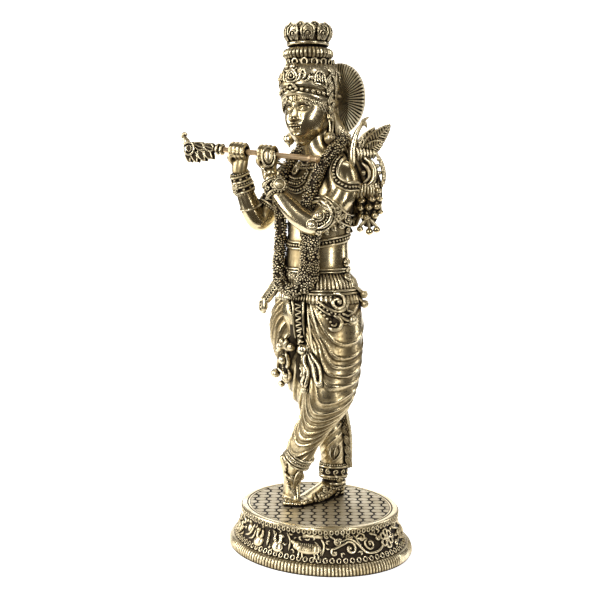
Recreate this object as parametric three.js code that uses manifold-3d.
// A small cast brass figure of a standing flute player on an oval plinth.
// Millimetres, +Z up. The origin is the centre of the plinth's flat underside.
// The figure faces -Y, and its own left hand is on the +X side.

import * as THREE from "three";
import { mergeVertices } from "three/addons/utils/BufferGeometryUtils.js";
import Module from "manifold-3d";

const wasm = await Module();
wasm.setup();

// Driving dimensions
const FIGURE_HEIGHT = 183.5;      // soles to the tips of the lotus finial
const PLINTH_HEIGHT = 16.5;
const PLINTH_FOOT_LENGTH = 77;    // left to right
const PLINTH_FOOT_WIDTH = 66.2;   // front to back
const PLINTH_TOP_LENGTH = 64.4;
const PLINTH_TOP_WIDTH = 57.2;
const PLINTH_FOOT_BAND = 4.4;     // height of the ribbed, rounded foot
const PLINTH_RIM_BAND = 1.8;      // height of the rim under the top face
const PLINTH_RIB_PITCH = 6.6;
const PLINTH_MOTIFS = 14;         // carved pieces round the band
const RELIEF_HEIGHT = 0.7;        // how far the plinth's carving stands proud
const FLUTE_DIAMETER = 2.1;
const FLUTE_LENGTH = 45.4;        // the plain rod, without its carved end
const FLUTE_OVERHANG = 21;        // rod end beyond the left hand
const FLUTE_FINIAL_LENGTH = 14.6;
const FLUTE_CLEARANCE = 0.3;      // all round, where the rod passes the fists
const CARVING_STEP = 2.4;         // pitch of the beads on the figure
const HALO_DIAMETER = 27.4;
const HALO_THICKNESS = 1.6;
const GARLAND_DIAMETER = 4.8;

// The pose is written for a figure of POSE_UNITS that stands at POSE_BASE,
// and every length of the figure is a share of its height.
const POSE_UNITS = 183.5;
const POSE_BASE = 16.5;
const share = FIGURE_HEIGHT / POSE_UNITS;

const X_AXIS = new THREE.Vector3(1, 0, 0);
const Y_AXIS = new THREE.Vector3(0, 1, 0);
const Z_AXIS = new THREE.Vector3(0, 0, 1);
const TURN = 2 * Math.PI;

const place = (x, y, z) => new THREE.Vector3(
  x * share,
  y * share,
  PLINTH_HEIGHT + (z - POSE_BASE) * share,
);

// Closed solids from rings of points

// Skins a run of rings, each with the same number of points, counted
// anticlockwise about the direction of the run.
function skin(rings, { loop = false, first, last } = {}) {
  const sides = rings[0].length;
  const points = rings.flat();
  const faces = [];
  const bands = loop ? rings.length : rings.length - 1;
  for (let i = 0; i < bands; i += 1) {
    const low = i * sides;
    const high = ((i + 1) % rings.length) * sides;
    for (let j = 0; j < sides; j += 1) {
      const next = (j + 1) % sides;
      faces.push(low + j, low + next, high + next);
      faces.push(low + j, high + next, high + j);
    }
  }
  if (!loop) {
    const start = points.push(first ?? middle(rings[0])) - 1;
    const end = points.push(last ?? middle(rings.at(-1))) - 1;
    const top = (rings.length - 1) * sides;
    for (let j = 0; j < sides; j += 1) {
      const next = (j + 1) % sides;
      faces.push(start, next, j);
      faces.push(end, top + j, top + next);
    }
  }
  const geometry = new THREE.BufferGeometry();
  geometry.setAttribute("position", new THREE.Float32BufferAttribute(
    points.flatMap((point) => point.toArray()), 3,
  ));
  geometry.setIndex(faces);
  return geometry;
}

function middle(ring) {
  const sum = new THREE.Vector3();
  ring.forEach((point) => sum.add(point));
  return sum.divideScalar(ring.length);
}

// One ring about a centre: across and front are its two half widths.
function ringAt(centre, along, side, across, front, sides, relief = () => 0) {
  const a = side.clone().addScaledVector(along, -side.dot(along)).normalize();
  const b = along.clone().cross(a);
  return Array.from({ length: sides }, (_, j) => {
    const angle = (j / sides) * TURN;
    const extra = relief(angle);
    return centre.clone()
      .addScaledVector(a, Math.cos(angle) * (across + extra))
      .addScaledVector(b, Math.sin(angle) * (front + extra));
  });
}

// A limb follows stations of [x, y, z, half width across, half width in front].
function limb(stations, options = {}) {
  const { steps = 8, sides = 10, side = X_AXIS, relief = () => 0, dome = 0.6 } = options;
  const centres = new THREE.CatmullRomCurve3(
    stations.map(([x, y, z]) => place(x, y, z)), false, "centripetal",
  );
  const widths = new THREE.CatmullRomCurve3(
    stations.map(([, , , across, front = across]) => new THREE.Vector3(across, front, 0)),
    false, "catmullrom", 0.4,
  );
  const ring = (t) => {
    const along = centres.getTangent(t).normalize();
    const width = widths.getPoint(t).multiplyScalar(share);
    const lift = (angle) => relief(t, angle) * share;
    return ringAt(centres.getPoint(t), along, side, width.x, width.y, sides, lift);
  };
  const reach = (t) => dome * share * Math.min(widths.getPoint(t).x, widths.getPoint(t).y);
  const rings = Array.from({ length: steps + 1 }, (_, i) => ring(i / steps));
  const tip = (t, sign) => centres.getPoint(t)
    .addScaledVector(centres.getTangent(t).normalize(), sign * reach(t));
  return skin(rings, { first: tip(0, -1), last: tip(1, 1) });
}

// A band that runs round a limb, square to the direction it follows.
function band([x, y, z], along, across, front, thick, wide, options = {}) {
  const { sides = 8, side = X_AXIS } = options;
  const axis = new THREE.Vector3(...along).normalize();
  const section = [[-1, 0.4], [1, 0.4], [0, -2]];
  const rings = section.map(([up, out]) => ringAt(
    place(x, y, z).addScaledVector(axis, up * wide * 0.5 * share),
    axis,
    side,
    (across + out * thick * 0.5) * share,
    (front + out * thick * 0.5) * share,
    sides,
  ));
  return skin(rings, { loop: true });
}

function ball([x, y, z], radii, across = 6, down = 4) {
  const [rx, ry, rz] = radii.map((radius) => radius * share);
  const geometry = new THREE.SphereGeometry(1, across, down);
  geometry.rotateX(Math.PI / 2);
  geometry.scale(rx, ry, rz);
  const centre = place(x, y, z);
  geometry.translate(centre.x, centre.y, centre.z);
  return geometry;
}

// A leaf or petal: a flat lens from its root to its tip.
function leaf(root, tip, width, thick, facing = Y_AXIS, belly = 0.45) {
  const from = place(...root);
  const to = place(...tip);
  const along = to.clone().sub(from).normalize();
  const side = along.clone().cross(facing).normalize();
  const rings = [0.16, belly, 0.84].map((t) => {
    const spread = Math.sin(Math.PI * t) ** 0.8 * width * 0.5 * share;
    return ringAt(from.clone().lerp(to, t), along, side, spread, thick * 0.5 * share, 4);
  });
  return skin(rings, { first: from, last: to });
}

// A lathe profile of [radius, height] about a vertical line, with a relief
// that may lift the skin by angle and height.
function turned([x, y], profile, sides, relief = () => 0) {
  const rings = profile.map(([radius, z], level) => ringAt(
    place(x, y, z), Z_AXIS, X_AXIS, radius * share, radius * share, sides,
    (angle) => relief(angle, level) * share,
  ));
  return skin(rings);
}

function solidOf(geometry) {
  geometry.deleteAttribute("normal");
  geometry.deleteAttribute("uv");
  const merged = mergeVertices(geometry, 1e-4);
  const corners = merged.index.array;
  const faces = [];
  for (let i = 0; i < corners.length; i += 3) {
    const [a, b, c] = corners.slice(i, i + 3);
    if (a !== b && b !== c && c !== a) {
      faces.push(a, b, c);
    }
  }
  return new wasm.Manifold(new wasm.Mesh({
    numProp: 3,
    vertProperties: new Float32Array(merged.attributes.position.array),
    triVerts: new Uint32Array(faces),
  }));
}

// Pockets closed off inside a joined solid are filled: only its outer skin stays
function joined(geometries) {
  const whole = wasm.Manifold.union(geometries.map(solidOf));
  return wasm.Manifold.union(whole.decompose().filter((skinned) => skinned.volume() > 0));
}

function geometryOf(solid) {
  const mesh = solid.getMesh();
  const geometry = new THREE.BufferGeometry();
  geometry.setAttribute("position", new THREE.BufferAttribute(mesh.vertProperties, 3));
  geometry.setIndex(new THREE.BufferAttribute(mesh.triVerts, 1));
  return geometry;
}

// The flute: a plain rod with a carved bird's head at its far end

const leftGrip = place(-9.8, -17.5, 151.6);
const fluteWay = new THREE.Vector3(-0.934, -0.323, 0.1).normalize();
const onFlute = (distance) => leftGrip.clone().addScaledVector(fluteWay, distance);

function rod(from, to, radius, sides) {
  const rings = [from, to].map((distance) => ringAt(
    onFlute(distance), fluteWay, Z_AXIS, radius, radius, sides,
  ));
  return skin(rings);
}

function flute() {
  const radius = FLUTE_DIAMETER / 2;
  const start = -FLUTE_OVERHANG;
  const end = start + FLUTE_LENGTH;
  const up = Z_AXIS.clone().addScaledVector(fluteWay, -Z_AXIS.dot(fluteWay)).normalize();
  const spot = (along, height) => onFlute(end + along * FLUTE_FINIAL_LENGTH)
    .addScaledVector(up, height * FLUTE_FINIAL_LENGTH);
  const facing = fluteWay.clone().cross(up);
  const petal = (root, tip, width, thick) => {
    const from = spot(...root);
    const to = spot(...tip);
    const along = to.clone().sub(from).normalize();
    const side = along.clone().cross(facing).normalize();
    const rings = [0.2, 0.5, 0.8].map((t) => ringAt(
      from.clone().lerp(to, t), along, side,
      Math.sin(Math.PI * t) * width * 0.5, thick * 0.5, 4,
    ));
    return skin(rings, { first: from, last: to });
  };
  const collars = [0, 1].map((i) => {
    const centre = end + (i - 0.5) * FLUTE_DIAMETER * 0.8;
    const swell = radius * (1.45 + 0.25 * i);
    const rings = [[-0.35, 0.7], [0, 1], [0.35, 0.7]].map(([shift, size]) => ringAt(
      onFlute(centre + shift * FLUTE_DIAMETER), fluteWay, Z_AXIS,
      swell * size, swell * size, 8,
    ));
    return skin(rings);
  });
  const unit = FLUTE_FINIAL_LENGTH;
  const petals = [
    petal([0.0, 0.02], [0.42, 0.13], unit * 0.26, unit * 0.18),
    petal([0.3, 0.02], [0.76, 0.13], unit * 0.26, unit * 0.18),
    petal([0.1, 0.0], [0.3, -0.34], unit * 0.2, unit * 0.13),
    petal([0.26, 0.0], [0.5, -0.36], unit * 0.2, unit * 0.13),
    petal([0.44, 0.0], [0.7, -0.32], unit * 0.2, unit * 0.13),
    petal([0.56, 0.0], [1.0, -0.02], unit * 0.3, unit * 0.2),
    petal([0.78, -0.08], [1.0, 0.34], unit * 0.2, unit * 0.16),
    petal([0.9, 0.26], [1.12, 0.36], unit * 0.13, unit * 0.13),
  ];
  return joined([rod(start, end + radius, radius, 10), ...collars, ...petals]);
}

// The plinth: an oval drum with a ribbed foot, a carved band and a plain rim

function plinth() {
  const foot = [PLINTH_FOOT_LENGTH / 2, PLINTH_FOOT_WIDTH / 2];
  const top = [PLINTH_TOP_LENGTH / 2, PLINTH_TOP_WIDTH / 2];
  const girth = Math.PI * (foot[0] + foot[1]);
  const ribs = Math.round(girth / PLINTH_RIB_PITCH);
  const sides = ribs * 2;
  const rimStart = PLINTH_HEIGHT - PLINTH_RIM_BAND;
  const footTop = PLINTH_FOOT_BAND;
  const taper = (z) => {
    const t = (z - footTop) / (rimStart - footTop);
    return 1 - (1 - t) ** 1.5;
  };
  const wall = (z, inset) => {
    const t = taper(z);
    return [0, 1].map((i) => {
      const low = foot[i] - footTop * 0.45;
      return low + (top[i] - RELIEF_HEIGHT - low) * t - inset;
    });
  };
  const ribDepth = PLINTH_RIB_PITCH * 0.1;
  const bandLow = footTop * 1.4;
  const bandHigh = rimStart - RELIEF_HEIGHT;
  const levels = [
    { z: 0, half: foot.map((r) => r - footTop * 0.2), rib: 0 },
    { z: footTop * 0.3, half: foot.map((r) => r - ribDepth), rib: ribDepth },
    { z: footTop, half: wall(footTop, -RELIEF_HEIGHT), rib: ribDepth },
    { z: bandLow, half: wall(bandLow, RELIEF_HEIGHT), rib: 0 },
    { z: bandHigh, half: wall(bandHigh, RELIEF_HEIGHT), rib: 0 },
    { z: rimStart, half: top.map((r) => r - ribDepth), rib: ribDepth },
    { z: PLINTH_HEIGHT, half: top.map((r) => r - PLINTH_RIM_BAND * 0.2), rib: 0 },
  ];
  const rings = levels.map(({ z, half, rib }) => Array.from({ length: sides }, (_, j) => {
    const angle = (j / sides) * TURN;
    const lift = j % 2 === 0 ? rib : 0;
    return new THREE.Vector3(
      Math.cos(angle) * (half[0] + lift), Math.sin(angle) * (half[1] + lift), z,
    );
  }));
  const body = skin(rings, {
    first: new THREE.Vector3(0, 0, 0),
    last: new THREE.Vector3(0, 0, PLINTH_HEIGHT),
  });

  // Carving on the band: each piece is a low boss on the sloping wall
  const boss = (turn, level, wide, high, proud) => {
    const z = bandLow + (bandHigh - bandLow) * level;
    const [a, b] = wall(z, RELIEF_HEIGHT);
    const centre = new THREE.Vector3(Math.cos(turn) * a, Math.sin(turn) * b, z);
    const out = new THREE.Vector3(
      Math.cos(turn) / foot[0], Math.sin(turn) / foot[1], 0,
    ).normalize();
    const around = Z_AXIS.clone().cross(out);
    const ring = (depth, size) => ringAt(
      centre.clone().addScaledVector(out, depth), out, around,
      wide * size, high * size, 6,
    );
    return skin([ring(-RELIEF_HEIGHT, 1), ring(proud, 0.8)]);
  };
  const rise = bandHigh - bandLow;
  const motifs = Array.from({ length: PLINTH_MOTIFS }, (_, i) => {
    const turn = ((i + 0.5) / PLINTH_MOTIFS) * TURN;
    const facesFrontOrBack = Math.abs(Math.sin(turn)) > 0.75;
    if (!facesFrontOrBack) {
      return [boss(turn, i % 2 === 0 ? 0.6 : 0.38, rise * 0.32, rise * 0.28, RELIEF_HEIGHT)];
    }
    return [
      boss(turn, 0.36, rise * 0.28, rise * 0.3, RELIEF_HEIGHT * 1.3),
      boss(turn + 0.06, 0.74, rise * 0.14, rise * 0.16, RELIEF_HEIGHT * 1.2),
    ];
  }).flat();
  return joined([body, ...motifs]);
}

// The casting: trunk and head

const wave = (turns) => Math.sin(turns * TURN);

const trunk = () => limb([
  [-1, -0.6, 84, 14, 11],
  [-1, -0.6, 92, 16.4, 13],
  [-0.8, -0.6, 98.5, 14.6, 12],
  [-0.6, -0.8, 104, 13, 11],
  [-0.5, -1, 111, 13, 11.2],
  [-0.3, -0.8, 119, 12.4, 10.2],
  [0, -0.5, 128, 14, 10],
  [0.2, -0.5, 136, 15.4, 9.8],
  [0.3, 0, 143.5, 14.6, 7.8],
  [0.2, 0, 148.5, 9.8, 6.4],
  [-0.6, -0.8, 153.5, 5.6, 5.6],
  [-2, -2.2, 161, 5.2, 5.4],
], { steps: 12, sides: 14, dome: 0.3 });

const headCentre = [-2.9, -3.4, 167.4];

function head() {
  const [x, y, z] = headCentre;
  const skull = limb([
    [x, y - 4, z - 10, 3.4, 3.6],
    [x, y - 2.8, z - 6.4, 6.6, 7.4],
    [x, y, z, 8.5, 10],
    [x, y + 0.4, z + 7, 8.4, 9.6],
  ], { steps: 5, sides: 10, dome: 0.4 });
  return [
    skull,
    leaf([x, y - 9, z + 3.2], [x, y - 11.8, z - 2.6], 2.4, 2, X_AXIS, 0.7),
    ball([x, y - 9, z - 5.6], [2.3, 1.2, 1], 5, 3),
    ...[-1, 1].flatMap((hand) => [
      ball([x + hand * 3.2, y - 8.8, z + 0.9], [1.9, 1, 0.9], 5, 3),
      ball([x + hand * 8.6, y + 1, z - 2.4], [1.7, 2, 6], 6, 5),
    ]),
    ball([x, y + 6, z - 3], [7.4, 5, 10], 8, 5),
  ];
}

// The crown: a dome, a ribbed ring and an open lotus
const crownAxis = [-3.1, -3.3];

function crown() {
  const dome = turned(crownAxis, [
    [9.7, 172.8], [10.4, 175.6], [10, 181], [8.4, 184.4], [8.6, 185.4], [6.6, 187.2],
  ], 14);
  const ribbed = turned(crownAxis, [
    [7.8, 186.4], [9.7, 188.4], [9, 190.4], [7, 191.4],
  ], 28, (angle, level) => (level % 3 === 0 ? 0 : 0.4 * Math.cos(angle * 14)));
  const lotus = turned(crownAxis, [
    [7.6, 190.8], [7.4, 193.4], [8.8, 196.4], [7.4, 200], [6, 197.2],
  ], 24, (angle, level) => (level > 1 ? 0.8 * Math.cos(angle * 8) : 0));
  const [x, y] = crownAxis;
  return [
    dome, ribbed, lotus,
    ball([x, y - 9.8, 178.5], [2.6, 1.6, 4.2]),
  ];
}

// The halo: a fluted disc that stands upright behind the head
function halo() {
  const centre = [-1, 10.8, 172.6];
  const flutes = 24;
  const radius = (HALO_DIAMETER / 2) / share;
  const half = (HALO_THICKNESS / 2) / share;
  const rib = (angle) => 0.4 * Math.cos(angle * flutes);
  const ring = (size, depth, ribbed) => ringAt(
    place(centre[0], centre[1] + depth, centre[2]), Y_AXIS, X_AXIS,
    size * share, size * share, flutes * 2, ribbed ? (a) => rib(a) * share : undefined,
  );
  const disc = skin([
    ring(radius * 0.97, -half, true),
    ring(radius, half, false),
  ]);
  const stem = limb([
    [-1.8, 3, 170, 3, 4], [-1.2, 11.4, 171.5, 2.4, 3],
  ], { steps: 1, sides: 6 });
  return [disc, stem];
}

// The casting: arms and hands

const leftArm = () => limb([
  [12, 0.2, 144.8, 5, 5.4],
  [16.4, -1.4, 143, 5.5, 5.8],
  [16.4, -5, 136.6, 4.9, 5],
  [13.8, -10.4, 129.6, 4.3, 4.5],
  [11.4, -13.6, 126, 4, 4.1],
  [6.4, -15.2, 127.8, 3.9, 4.1],
  [0.6, -16.4, 132.4, 3.5, 3.7],
  [-5.4, -17.2, 138.2, 2.7, 2.9],
  [-8, -17.6, 142.6, 2.5, 3.1],
], { steps: 10, sides: 8, side: Y_AXIS });

const rightArm = () => limb([
  [-11.6, 0.2, 144.4, 5, 5.4],
  [-16.2, -1.6, 142.6, 5.5, 5.8],
  [-18.8, -4.6, 136, 4.7, 4.9],
  [-20, -9, 129, 4.3, 4.5],
  [-20.8, -12.2, 126.6, 4.1, 4.2],
  [-21.7, -15, 130.6, 4, 4.2],
  [-22.6, -18, 138, 3.3, 3.5],
  [-22.8, -20, 143.6, 2.7, 3],
], { steps: 9, sides: 8 });

// A fist closed round the flute: a palm, a thumb and four fingers that curl
// over the rod, given the grip's distance along it and the heel of the hand
function fist(along, heel) {
  const wrap = FLUTE_DIAMETER / 2 / share + 1.05;
  const back = fluteWay.clone().cross(Z_AXIS).normalize();
  const local = (shift, out, high) => {
    const point = onFlute(along + shift * share)
      .addScaledVector(back, out * share)
      .addScaledVector(Z_AXIS, high * share);
    return [point.x / share, point.y / share, (point.z - PLINTH_HEIGHT) / share + POSE_BASE];
  };
  const palm = limb([
    [...heel, 2.6, 3.1],
    [...local(0.4, 1.4, -4.4), 2.7, 3.5],
    [...local(0, wrap, -0.4), 2.3, 3.7],
  ], { steps: 2, sides: 7, side: Y_AXIS });
  const knuckles = (t, angle) => 0.35 * Math.abs(wave(1.1 * Math.cos(angle))) - 0.1;
  const fingers = limb([
    [...local(0, wrap, wrap * 0.3), 3.7, 1.1],
    [...local(0, wrap * 0.57, wrap * 1.2), 3.7, 1.1],
    [...local(0, -wrap * 0.57, wrap * 1.05), 3.6, 1.05],
    [...local(0, -wrap, 0), 3.5, 1],
    [...local(0, -wrap * 0.7, -wrap * 0.86), 3.2, 0.9],
  ], { steps: 4, sides: 12, side: fluteWay, relief: knuckles });
  const thumb = limb([
    [...local(3.4, 1.2, -4.2), 1.25],
    [...local(3.2, -1, -2.6), 1.15],
    [...local(2.4, -wrap, -1), 0.95],
  ], { steps: 2, sides: 5, side: fluteWay });
  return [palm, fingers, thumb];
}

// The casting: legs in wrapped cloth, crossed at the shins

// Folds hang in curves from the hip: low at the front, high at the sides
function swags(count, sag, lowest, depth) {
  return (t, angle) => {
    const fade = Math.min(1, Math.max(0, (t - 0.05) * 6)) * Math.min(1, (1 - t) * 8);
    const level = t - sag * Math.cos(angle - lowest);
    return fade * depth * (Math.abs(wave(level * count * 0.5)) * 2 - 1);
  };
}

const leftLeg = () => limb([
  [6.4, -0.8, 101, 7.6, 10.2],
  [8.6, -1, 93, 9.6, 11.8],
  [9.4, -2, 81, 10.2, 11.4],
  [10.6, -4.4, 69, 10, 10.6],
  [10.6, -6.8, 61, 8.9, 9.2],
  [5.6, -8, 50.8, 6.2, 6.1],
  [0.2, -8.4, 42.8, 5.3, 5.2],
  [-3.2, -8.2, 35, 4.9, 4.9],
], { steps: 20, sides: 13, relief: swags(6, 0.13, 1.1, 0.55), dome: 0.25 });

const rightLeg = () => limb([
  [-6.8, -0.8, 100, 7.6, 10],
  [-9.4, -0.6, 92, 9.8, 11.6],
  [-9.9, -1, 83, 10.6, 11.8],
  [-8.4, 0.8, 71, 9.2, 10],
  [-6.4, 4, 58, 7.7, 8],
  [-4.4, 9.4, 46, 5.6, 5.8],
  [-4, 11.4, 36, 5.1, 5.2],
  [-4, 12, 30.5, 5, 5.1],
  [-4, 12.2, 24.2, 4.9, 5],
], { steps: 14, sides: 11, relief: swags(5, -0.1, 1.8, 0.5), dome: 0.25 });

const hems = () => [
  band([-3, -8.2, 36.2], [0.7, 0.15, 1], 5.2, 5.2, 1, 4.6),
  band([-4, 12, 27], [0, 0, 1], 5.2, 5.3, 0.9, 4.6),
  band([-4.1, 12.2, 22], [0, 0, 1], 4, 4.4, 0.9, 1.6),
];

const toes = (count) => (t, angle) => (
  t > 0.7 ? 0.3 * Math.cos(Math.cos(angle) * count * 0.5 * Math.PI) : 0
);

const leftFoot = () => [
  limb([
    [-4, -8, 34, 3.4, 3.4], [-6, -7.6, 28.6, 3.1, 3.1], [-7.6, -7, 25, 3.2, 3.2],
  ], { steps: 1, sides: 7 }),
  limb([
    [-10.2, -8.4, 34.6, 2.8, 2.7],
    [-8.6, -7.6, 29.5, 3.1, 3.2],
    [-8.6, -6.8, 24, 3.9, 3.3],
    [-9.6, -5.8, 19.6, 4.2, 2.6],
    [-12.2, -4.6, 17.2, 4.2, 1.5],
    [-13.6, -4.2, 16.8, 3.7, 1.1],
  ], { steps: 6, sides: 9, side: Y_AXIS, relief: toes(4) }),
];

const rightFoot = () => [
  limb([
    [-4, 12.2, 31, 3.8, 4], [-4, 12.4, 25, 3.5, 3.9], [-4.1, 12.4, 20, 3.8, 4.6],
  ], { steps: 1, sides: 8 }),
  limb([
    [-4.1, 15.2, 18.6, 3.1, 2.6],
    [-4.1, 11, 20, 3.4, 3.8],
    [-4.2, 5, 19, 3.8, 3.2],
    [-4.4, -0.6, 18, 4.3, 2.1],
    [-4.8, -4.4, 17.4, 4.2, 1.5],
    [-4.9, -6.2, 17, 3.6, 1.1],
  ], { steps: 6, sides: 9, relief: toes(5) }),
];

// The casting: ornaments

const blossom = (t, count) => 0.35 * Math.cos(t * count * TURN);

function garland() {
  const radius = (GARLAND_DIAMETER / 2) / share;
  const path = [
    [6.6, 2.6, 152], [8.6, -4.4, 149.4], [7.4, -9, 142.6], [4.6, -11.2, 134],
    [3.6, -11.4, 126], [4.8, -12, 118], [5.4, -13.2, 110.5], [4.8, -14, 105],
    [1.4, -14.6, 101.6], [-3.4, -14.4, 102], [-6.8, -13.2, 106.4], [-8, -11.6, 113],
    [-8.4, -10.2, 121], [-8.2, -10.2, 129], [-8.6, -9.8, 137], [-8.4, -6.4, 145.4],
    [-6.8, -1, 150.8], [-5.4, 3, 152],
  ];
  return limb(path.map((point) => [...point, radius, radius]), {
    steps: 34, sides: 4, side: Y_AXIS, relief: (t) => blossom(t, 17),
  });
}

const rings = () => [
  // bracelets, armlets
  band([-6.4, -17.3, 139.6], [-0.55, -0.1, 0.83], 3.3, 3.4, 1.2, 4.4, { side: Y_AXIS }),
  band([-22.7, -19.1, 141.2], [0, -0.35, 0.94], 3.5, 3.7, 1.2, 6.2),
  band([15.2, -7.8, 133], [-0.35, -0.6, -0.75], 4.8, 5, 1.4, 4.4, { side: Y_AXIS }),
  band([-19.4, -6.8, 132.4], [-0.2, -0.6, -0.8], 4.8, 5, 1.4, 4.4),
  // collar and belt
  band([0, -0.3, 149.2], [0, -0.35, 1], 8, 7, 1.6, 2.4, { sides: 10 }),
  band([-0.6, -0.6, 102], [0, 0, 1], 13.6, 11, 1.4, 6, { sides: 14 }),
];

const jewels = () => [
  ball([-8.4, -19.4, 139], [2.3, 1.7, 2.3]),
  ball([-24.4, -21.8, 140.2], [1.8, 1.4, 2.2]),
  ball([16.2, -11.8, 131.8], [2, 1.6, 2]),
  ball([-0.5, -8.4, 144], [2.2, 1.4, 2.8]),
  ball([-0.6, -12.4, 99.6], [2.6, 1.4, 2.8]),
];

// A string of beads that hangs in a curve from the belt
function festoon(from, to, drop, proud) {
  const start = new THREE.Vector3(...from);
  const end = new THREE.Vector3(...to);
  const beads = Math.max(3, Math.round(start.distanceTo(end) / (CARVING_STEP / share)));
  const stations = [0, 0.25, 0.5, 0.75, 1].map((t) => {
    const point = start.clone().lerp(end, t);
    const bow = Math.sin(Math.PI * t);
    return [point.x, point.y - bow * proud, point.z - bow * drop, 0.9];
  });
  return limb(stations, {
    steps: beads * 2, sides: 4, relief: (t) => -0.25 * Math.cos(t * beads * TURN),
  });
}

const festoons = () => [
  festoon([14, -4.6, 98.4], [4, -12.4, 98.4], 6, 2.4),
  festoon([-6, -12, 98.4], [-14, -5.4, 98.4], 6, 2),
];

function tassel(root, tip, width) {
  const along = (t) => root.map((value, i) => value + (tip[i] - value) * t);
  return limb([
    [...along(0), width * 0.5],
    [...along(0.8), width * 0.5],
    [...along(0.92), width * 0.95],
    [...along(1), width * 0.5],
  ], { steps: 3, sides: 5 });
}

// Sash ends and tassels, and the cloth that hangs behind the right leg
const sashes = () => [
  tassel([0.6, -12.4, 98], [0.4, -13.4, 80], 1.9),
  tassel([-8.6, -10.2, 90], [-11.4, -11.8, 74.5], 2.1),
  tassel([-5.6, -10.6, 88], [-7.6, -12, 71], 1.9),
  tassel([3, -11.4, 86], [4.2, -14.4, 69.5], 2),
  leaf([-12.4, -6, 101], [-20.4, -9.8, 92], 5, 2.6, Y_AXIS, 0.7),
  leaf([10.6, 3, 103], [18.2, 5.6, 99.4], 4, 2.4, X_AXIS, 0.7),
  leaf([10.6, 3, 101], [18.4, 5.8, 95.8], 4, 2.4, X_AXIS, 0.7),
  limb([
    [-2.8, 8, 62, 4.2, 1.6],
    [-2.4, 12.6, 52, 4.6, 1.8],
    [-2.4, 15.2, 40, 4.8, 1.8],
    [-2.6, 15.4, 28, 4.4, 1.6],
  ], { steps: 4, sides: 8, dome: 0.1 }),
];

// The spray behind the left shoulder: stalk, bud, leaves, crescent and bells
const spray = () => [
  limb([
    [10, 5.6, 141, 2.4], [12.4, 7.2, 150, 2.2], [12.4, 7.4, 158, 1.8], [12.8, 7.8, 162.6, 1.3],
  ], { steps: 3, sides: 5 }),
  ball([13.8, 8.2, 163.8], [1.7, 1.7, 2], 5, 3),
  leaf([13, 8.4, 154.6], [24.6, 12.6, 162.4], 6.4, 1.8, new THREE.Vector3(1, -1, 0)),
  leaf([13, 8.4, 153], [24.2, 13, 157], 5.4, 1.8, new THREE.Vector3(1, -1, 0)),
  ball([16.6, 9.6, 153.4], [3.6, 3.6, 3], 6, 3),
  limb([
    [14.6, 8.6, 152, 2.4], [19.4, 10.8, 147.4, 2.8], [17.4, 9.6, 140.6, 2.8],
  ], { steps: 3, sides: 6 }),
  limb([
    [13.4, 5.4, 145, 3.4], [17, 9, 136, 4.4], [17, 9.6, 128, 3.6], [16.8, 9.4, 123, 2.2],
  ], { steps: 5, sides: 7 }),
  ...[[19.8, 11, 135.6], [18.4, 6.6, 131.6], [14.6, 11.6, 131]].map(
    (at) => ball(at, [2.2, 2.2, 2.8], 5, 3),
  ),
];

function figure() {
  const casting = joined([
    trunk(), ...head(), ...crown(), ...halo(),
    leftArm(), rightArm(),
    ...fist(0, [-8.4, -17.8, 144]),
    ...fist(12.4 * share, [-22.6, -20.6, 145]),
    leftLeg(), rightLeg(), ...hems(), ...leftFoot(), ...rightFoot(),
    garland(), ...rings(), ...jewels(), ...festoons(), ...sashes(), ...spray(),
  ]);
  const bore = solidOf(rod(
    -FLUTE_OVERHANG - 1,
    FLUTE_LENGTH,
    FLUTE_DIAMETER / 2 + FLUTE_CLEARANCE,
    12,
  ));
  const under = new THREE.BoxGeometry(2 * FIGURE_HEIGHT, 2 * FIGURE_HEIGHT, FIGURE_HEIGHT);
  under.translate(0, 0, PLINTH_HEIGHT - FIGURE_HEIGHT / 2);
  return casting.subtract(bore).subtract(solidOf(under));
}

// The assembled model

const antiqueBrass = { color: 0xa28f5a, metalness: 1, roughness: 0.32 };
const copperBrass = { color: 0xb48f5e, metalness: 1, roughness: 0.3 };

const group = new THREE.Group();
for (const [name, solid, look] of [
  ["plinth", plinth(), antiqueBrass],
  ["figure", figure(), antiqueBrass],
  ["flute", flute(), copperBrass],
]) {
  const mesh = new THREE.Mesh(geometryOf(solid), new THREE.MeshStandardMaterial(look));
  mesh.name = name;
  group.add(mesh);
}

export default group;
